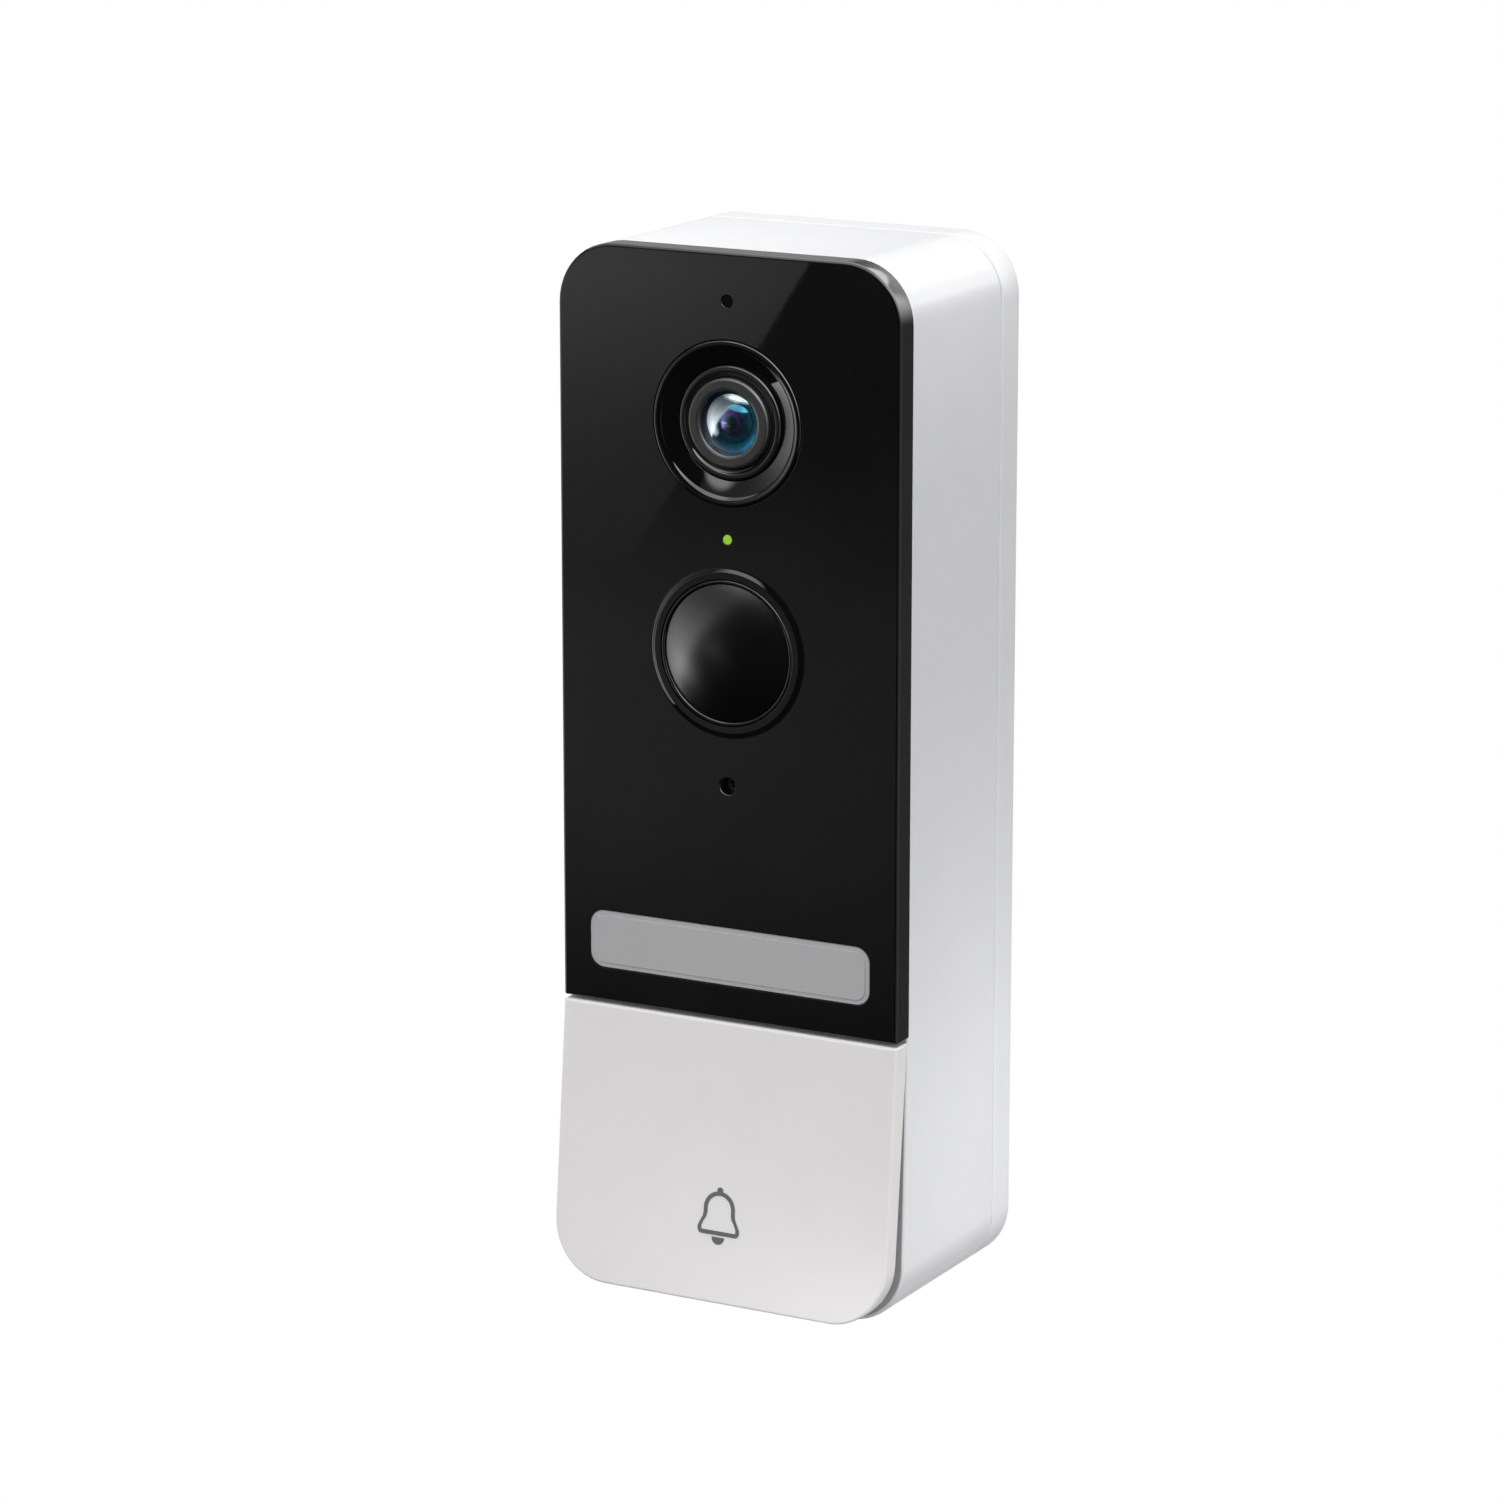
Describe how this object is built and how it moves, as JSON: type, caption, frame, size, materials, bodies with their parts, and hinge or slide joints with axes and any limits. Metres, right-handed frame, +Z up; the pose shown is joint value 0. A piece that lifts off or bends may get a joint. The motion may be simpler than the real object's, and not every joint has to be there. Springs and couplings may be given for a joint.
{
  "type": "video doorbell",
  "caption": "Upright battery video doorbell with a hook-on wall bracket, lens, motion sensor, light bar and a rocking call button hinged along its top.",
  "frame": {"origin": "on the wall plane, at the middle of the bracket's back face", "axes": "+X to the right seen from the street, +Y into the wall, +Z up; the front faces -Y"},
  "size_m": [0.0524, 0.0397, 0.148],
  "materials": {
    "bracket_plastic": "fine moulded texture",
    "spring_steel": "bright rolled",
    "housing_plastic": "satin moulded",
    "back_plastic": "fine moulded texture",
    "screw_steel": "zinc plated",
    "seal_rubber": "matte",
    "panel_gloss": "high gloss",
    "foam_tape": "matte foam",
    "bezel_gloss": "high gloss",
    "barrel_black": "anodised black",
    "lens_ring_grey": "satin anodised",
    "lens_glass": "coated",
    "inner_glass": "coated",
    "optic_black": "matte",
    "filter_glass": "coated",
    "pcb_green": "solder mask",
    "led_smoke": "dark clear",
    "copper_coil": "enamelled wire",
    "chip_black": "moulded",
    "sensor_glass": "polished",
    "pir_dark": "satin dome",
    "can_metal": "bright",
    "pir_window": "dark",
    "holder_grey": "moulded",
    "pipe_green": "clear, lit green",
    "pipe_dark": "clear",
    "led_white": "phosphor",
    "sensor_black": "clear black",
    "silicone_black": "matte",
    "diffuser_grey": "smooth frosted",
    "reflector_white": "smooth white",
    "button_white": "smooth satin",
    "icon_grey": "printed ink",
    "pin_steel": "ground",
    "silicone_grey": "matte",
    "plunger_brown": "moulded",
    "antenna_flex": "copper and film",
    "speaker_frame": "moulded",
    "speaker_cone": "smooth",
    "bay_grey": "moulded",
    "pack_black": "fine texture",
    "cell_wrap": "satin sleeve over a metal can",
    "gold_contact": "gold plated",
    "latch_orange": "moulded",
    "reset_grey": "moulded",
    "terminal_body": "moulded, brass screws"
  },
  "bodies": {
    "bracket": {"wall_bracket": "bracket_plastic", "bracket_rim": "bracket_plastic", "bracket_clip": "spring_steel"},
    "unit": {"main_housing": "housing_plastic", "back_plate": "back_plastic", "back_plate_screws": "screw_steel", "rear_seal": "seal_rubber", "front_panel": "panel_gloss", "panel_adhesive": "foam_tape", "camera_bezel": "bezel_gloss", "lens_barrel": "barrel_black", "lens_ring": "lens_ring_grey", "lens_front_glass": "lens_glass", "lens_inner_glass": "inner_glass", "lens_holder": "optic_black", "ir_led_ring": "pcb_green", "ir_leds": "led_smoke", "ir_cut_motor": "copper_coil", "image_sensor": "sensor_glass", "pir_bezel": "bezel_gloss", "pir_lens": "pir_dark", "pir_sensor": "can_metal", "pir_window": "pir_window", "pir_holder": "holder_grey", "status_light_pipe": "pipe_green", "status_led": "led_white", "ambient_light_pipe": "pipe_dark", "ambient_light_sensor": "sensor_black", "microphone_boot": "silicone_black", "microphone": "can_metal", "spotlight_diffuser": "diffuser_grey", "spotlight_reflector": "reflector_white", "spotlight_leds": "led_white", "front_board": "pcb_green", "button_hinge_pins": "pin_steel", "button_boot": "silicone_grey", "button_switch": "chip_black", "button_springs": "spring_steel", "button_board": "pcb_green", "main_board": "pcb_green", "main_board_chips": "chip_black", "chip_shield": "can_metal", "board_screws": "screw_steel", "wifi_antenna": "antenna_flex", "speaker_frame": "speaker_frame", "speaker_cone": "speaker_cone", "speaker_gasket": "silicone_black", "battery_bay": "bay_grey", "battery_case": "pack_black", "battery_cells": "cell_wrap", "battery_contacts": "gold_contact", "latch_spring": "spring_steel", "terminal_block": "terminal_body"},
    "button": {"button_cover": "button_white", "bell_icon": "icon_grey"},
    "switch": {"button_switch_plunger": "plunger_brown"},
    "ir_cut": {"ir_cut_frame": "optic_black", "ir_cut_filters": "filter_glass"},
    "latch": {"battery_latch": "latch_orange"},
    "reset": {"reset_button": "reset_grey"}
  },
  "joints": [
    {"name": "unit_lift", "type": "slide", "parent": "bracket", "child": "unit", "axis": [0, 0, 1], "range_m": [0, 0.005], "deforming": ["bracket_clip"]},
    {"name": "button_press", "type": "hinge", "parent": "unit", "child": "button", "pos_m": [0, -0.0289, -0.036], "axis": [1, 0, 0], "range_deg": [0, 1.5], "stiffness_Nm_per_rad": 1.5, "springref_deg": -0.57, "deforming": ["button_springs", "button_boot"]},
    {"name": "switch_travel", "type": "slide", "parent": "unit", "child": "switch", "axis": [0, 1, 0], "range_m": [0, 0.0007]},
    {"name": "ir_cut_slide", "type": "slide", "parent": "unit", "child": "ir_cut", "axis": [1, 0, 0], "range_m": [0, 0.006]},
    {"name": "battery_latch_slide", "type": "slide", "parent": "unit", "child": "latch", "axis": [0, 0, 1], "range_m": [0, 0.0018], "stiffness_N_per_m": 400, "springref_m": -0.001, "deforming": ["latch_spring"]},
    {"name": "reset_press", "type": "slide", "parent": "unit", "child": "reset", "axis": [0, -1, 0], "range_m": [0, 0.0004], "stiffness_N_per_m": 1500, "springref_m": -0.0002}
  ],
  "couplings": [
    {"joint": "switch_travel", "follows": "button_press", "m_per_rad": 0.0255}
  ]
}
